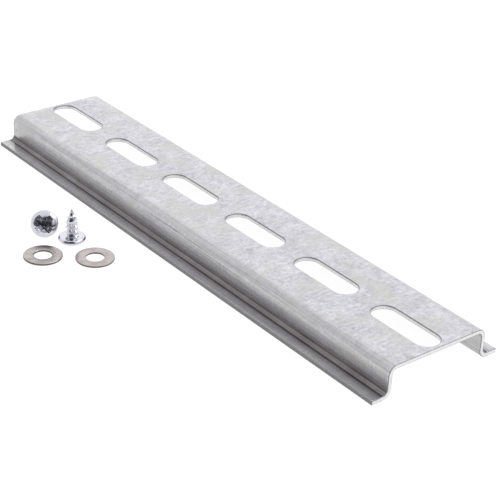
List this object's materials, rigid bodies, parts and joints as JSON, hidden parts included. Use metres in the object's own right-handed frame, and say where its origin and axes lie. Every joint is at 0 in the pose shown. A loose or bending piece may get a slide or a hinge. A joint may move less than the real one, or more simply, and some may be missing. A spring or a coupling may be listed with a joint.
{
  "type": "slotted mounting rail",
  "caption": "Slotted zinc-plated steel top-hat rail, 35 mm wide, that control modules clip onto in a panel, with loose pan-head tapping screws and flat washers lying beside it.",
  "frame": {"origin": "middle of the crown's outer face, the face that bolts against the panel, on the solid web between the two middle slots", "axes": "+X along the rail, +Z out of the crown into the panel, +Y across the rail away from the loose hardware"},
  "size_m": [0.145, 0.0614, 0.0086],
  "materials": {
    "rail_zinc": "bright zinc plate over rolled strip, fine mottled grain along the rail, satin",
    "screw_zinc": "bright zinc plate, smooth and glossy",
    "washer_steel": "plain punched steel, warm grey, satin"
  },
  "bodies": {
    "rail": {"din_rail": "rail_zinc"},
    "standing_screw_body": {"standing_screw": "screw_zinc"},
    "lying_screw_body": {"lying_screw": "screw_zinc"},
    "left_washer_body": {"left_washer": "washer_steel"},
    "right_washer_body": {"right_washer": "washer_steel"}
  },
  "joints": [
    {"name": "standing_screw_lift", "type": "slide", "parent": "rail", "child": "standing_screw_body", "axis": [0, 0, 1], "range_m": [0, 0.03]},
    {"name": "lying_screw_lift", "type": "slide", "parent": "rail", "child": "lying_screw_body", "axis": [0, 0, 1], "range_m": [0, 0.03]},
    {"name": "left_washer_lift", "type": "slide", "parent": "rail", "child": "left_washer_body", "axis": [0, 0, 1], "range_m": [0, 0.03]},
    {"name": "right_washer_lift", "type": "slide", "parent": "rail", "child": "right_washer_body", "axis": [0, 0, 1], "range_m": [0, 0.03]}
  ]
}
